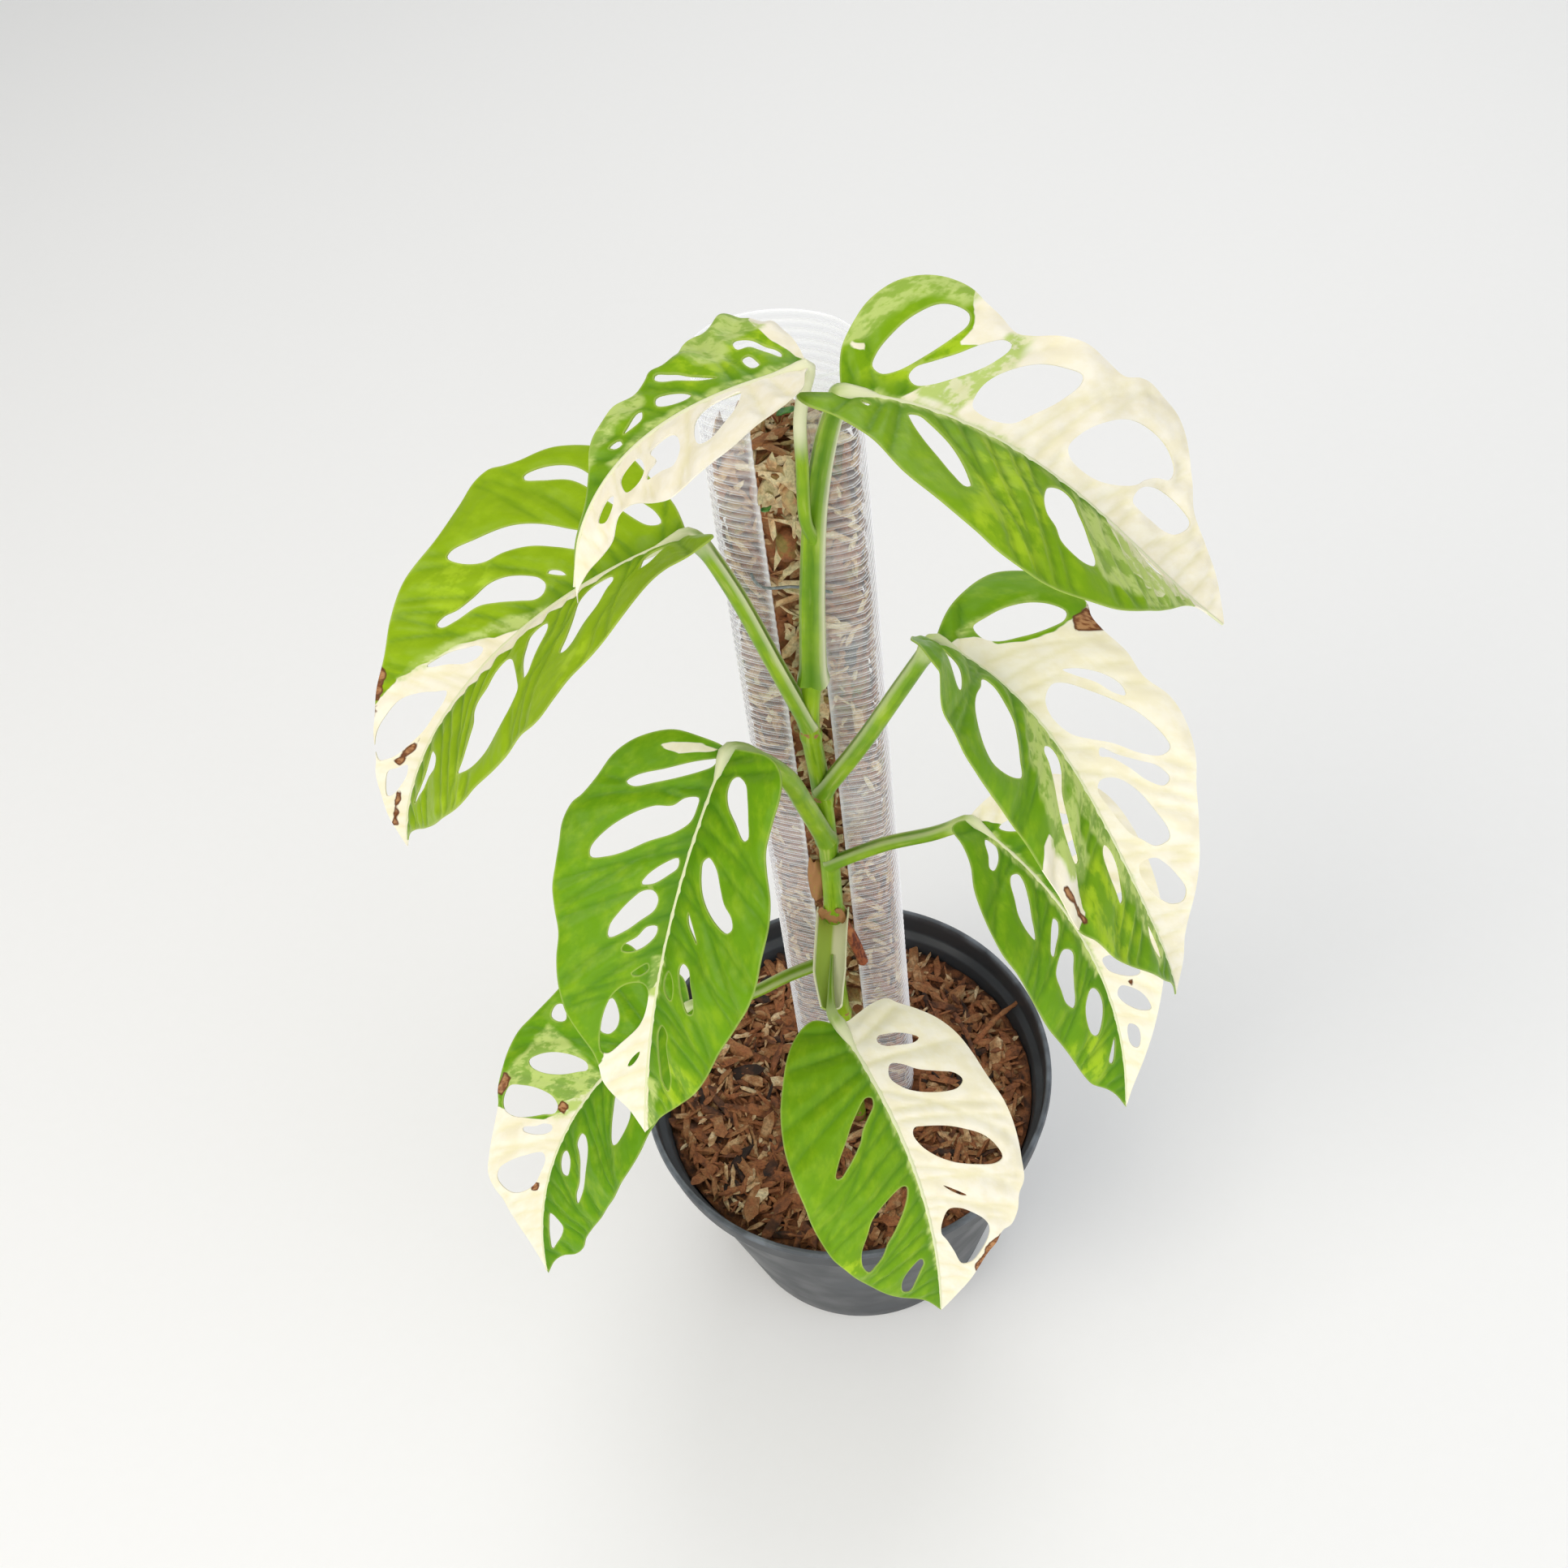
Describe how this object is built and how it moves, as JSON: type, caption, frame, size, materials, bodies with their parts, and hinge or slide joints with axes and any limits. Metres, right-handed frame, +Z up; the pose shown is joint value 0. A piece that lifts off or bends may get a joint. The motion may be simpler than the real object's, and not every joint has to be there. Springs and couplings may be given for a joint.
{
  "type": "potted variegated adansons monstera",
  "caption": "Climbing monstera with holed, half cream leaves on a clear bark-filled pole, standing in a round nursery pot.",
  "frame": {"origin": "centre of the pot's flat bottom", "axes": "+Z up; -Y the side that the pole's slot and the stem face; +X to the right of someone who looks at that side"},
  "size_m": [0.2638, 0.2162, 0.5282],
  "materials": {
    "pot_plastic": "moulded polypropylene, satin",
    "bark_mix": "chopped bark and husk, rough",
    "clear_plastic": "clear ribbed sheet",
    "green_stem": "smooth waxy stem",
    "root_bark": "dry aerial root",
    "coated_wire": "plastic-coated wire",
    "leaf": "waxy leaf, half green and half cream"
  },
  "bodies": {
    "root": {"pot": "pot_plastic", "potting_mix": "bark_mix", "pole_sleeve": "clear_plastic", "pole_fill": "bark_mix", "stem": "green_stem", "aerial_root": "root_bark", "tie": "coated_wire", "leaf_top_left": "leaf", "leaf_top_right": "leaf", "leaf_upper_left": "leaf", "leaf_right": "leaf", "leaf_middle_left": "leaf", "leaf_lower_right": "leaf", "leaf_lower_left": "leaf", "leaf_front": "leaf"}
  },
  "joints": []
}
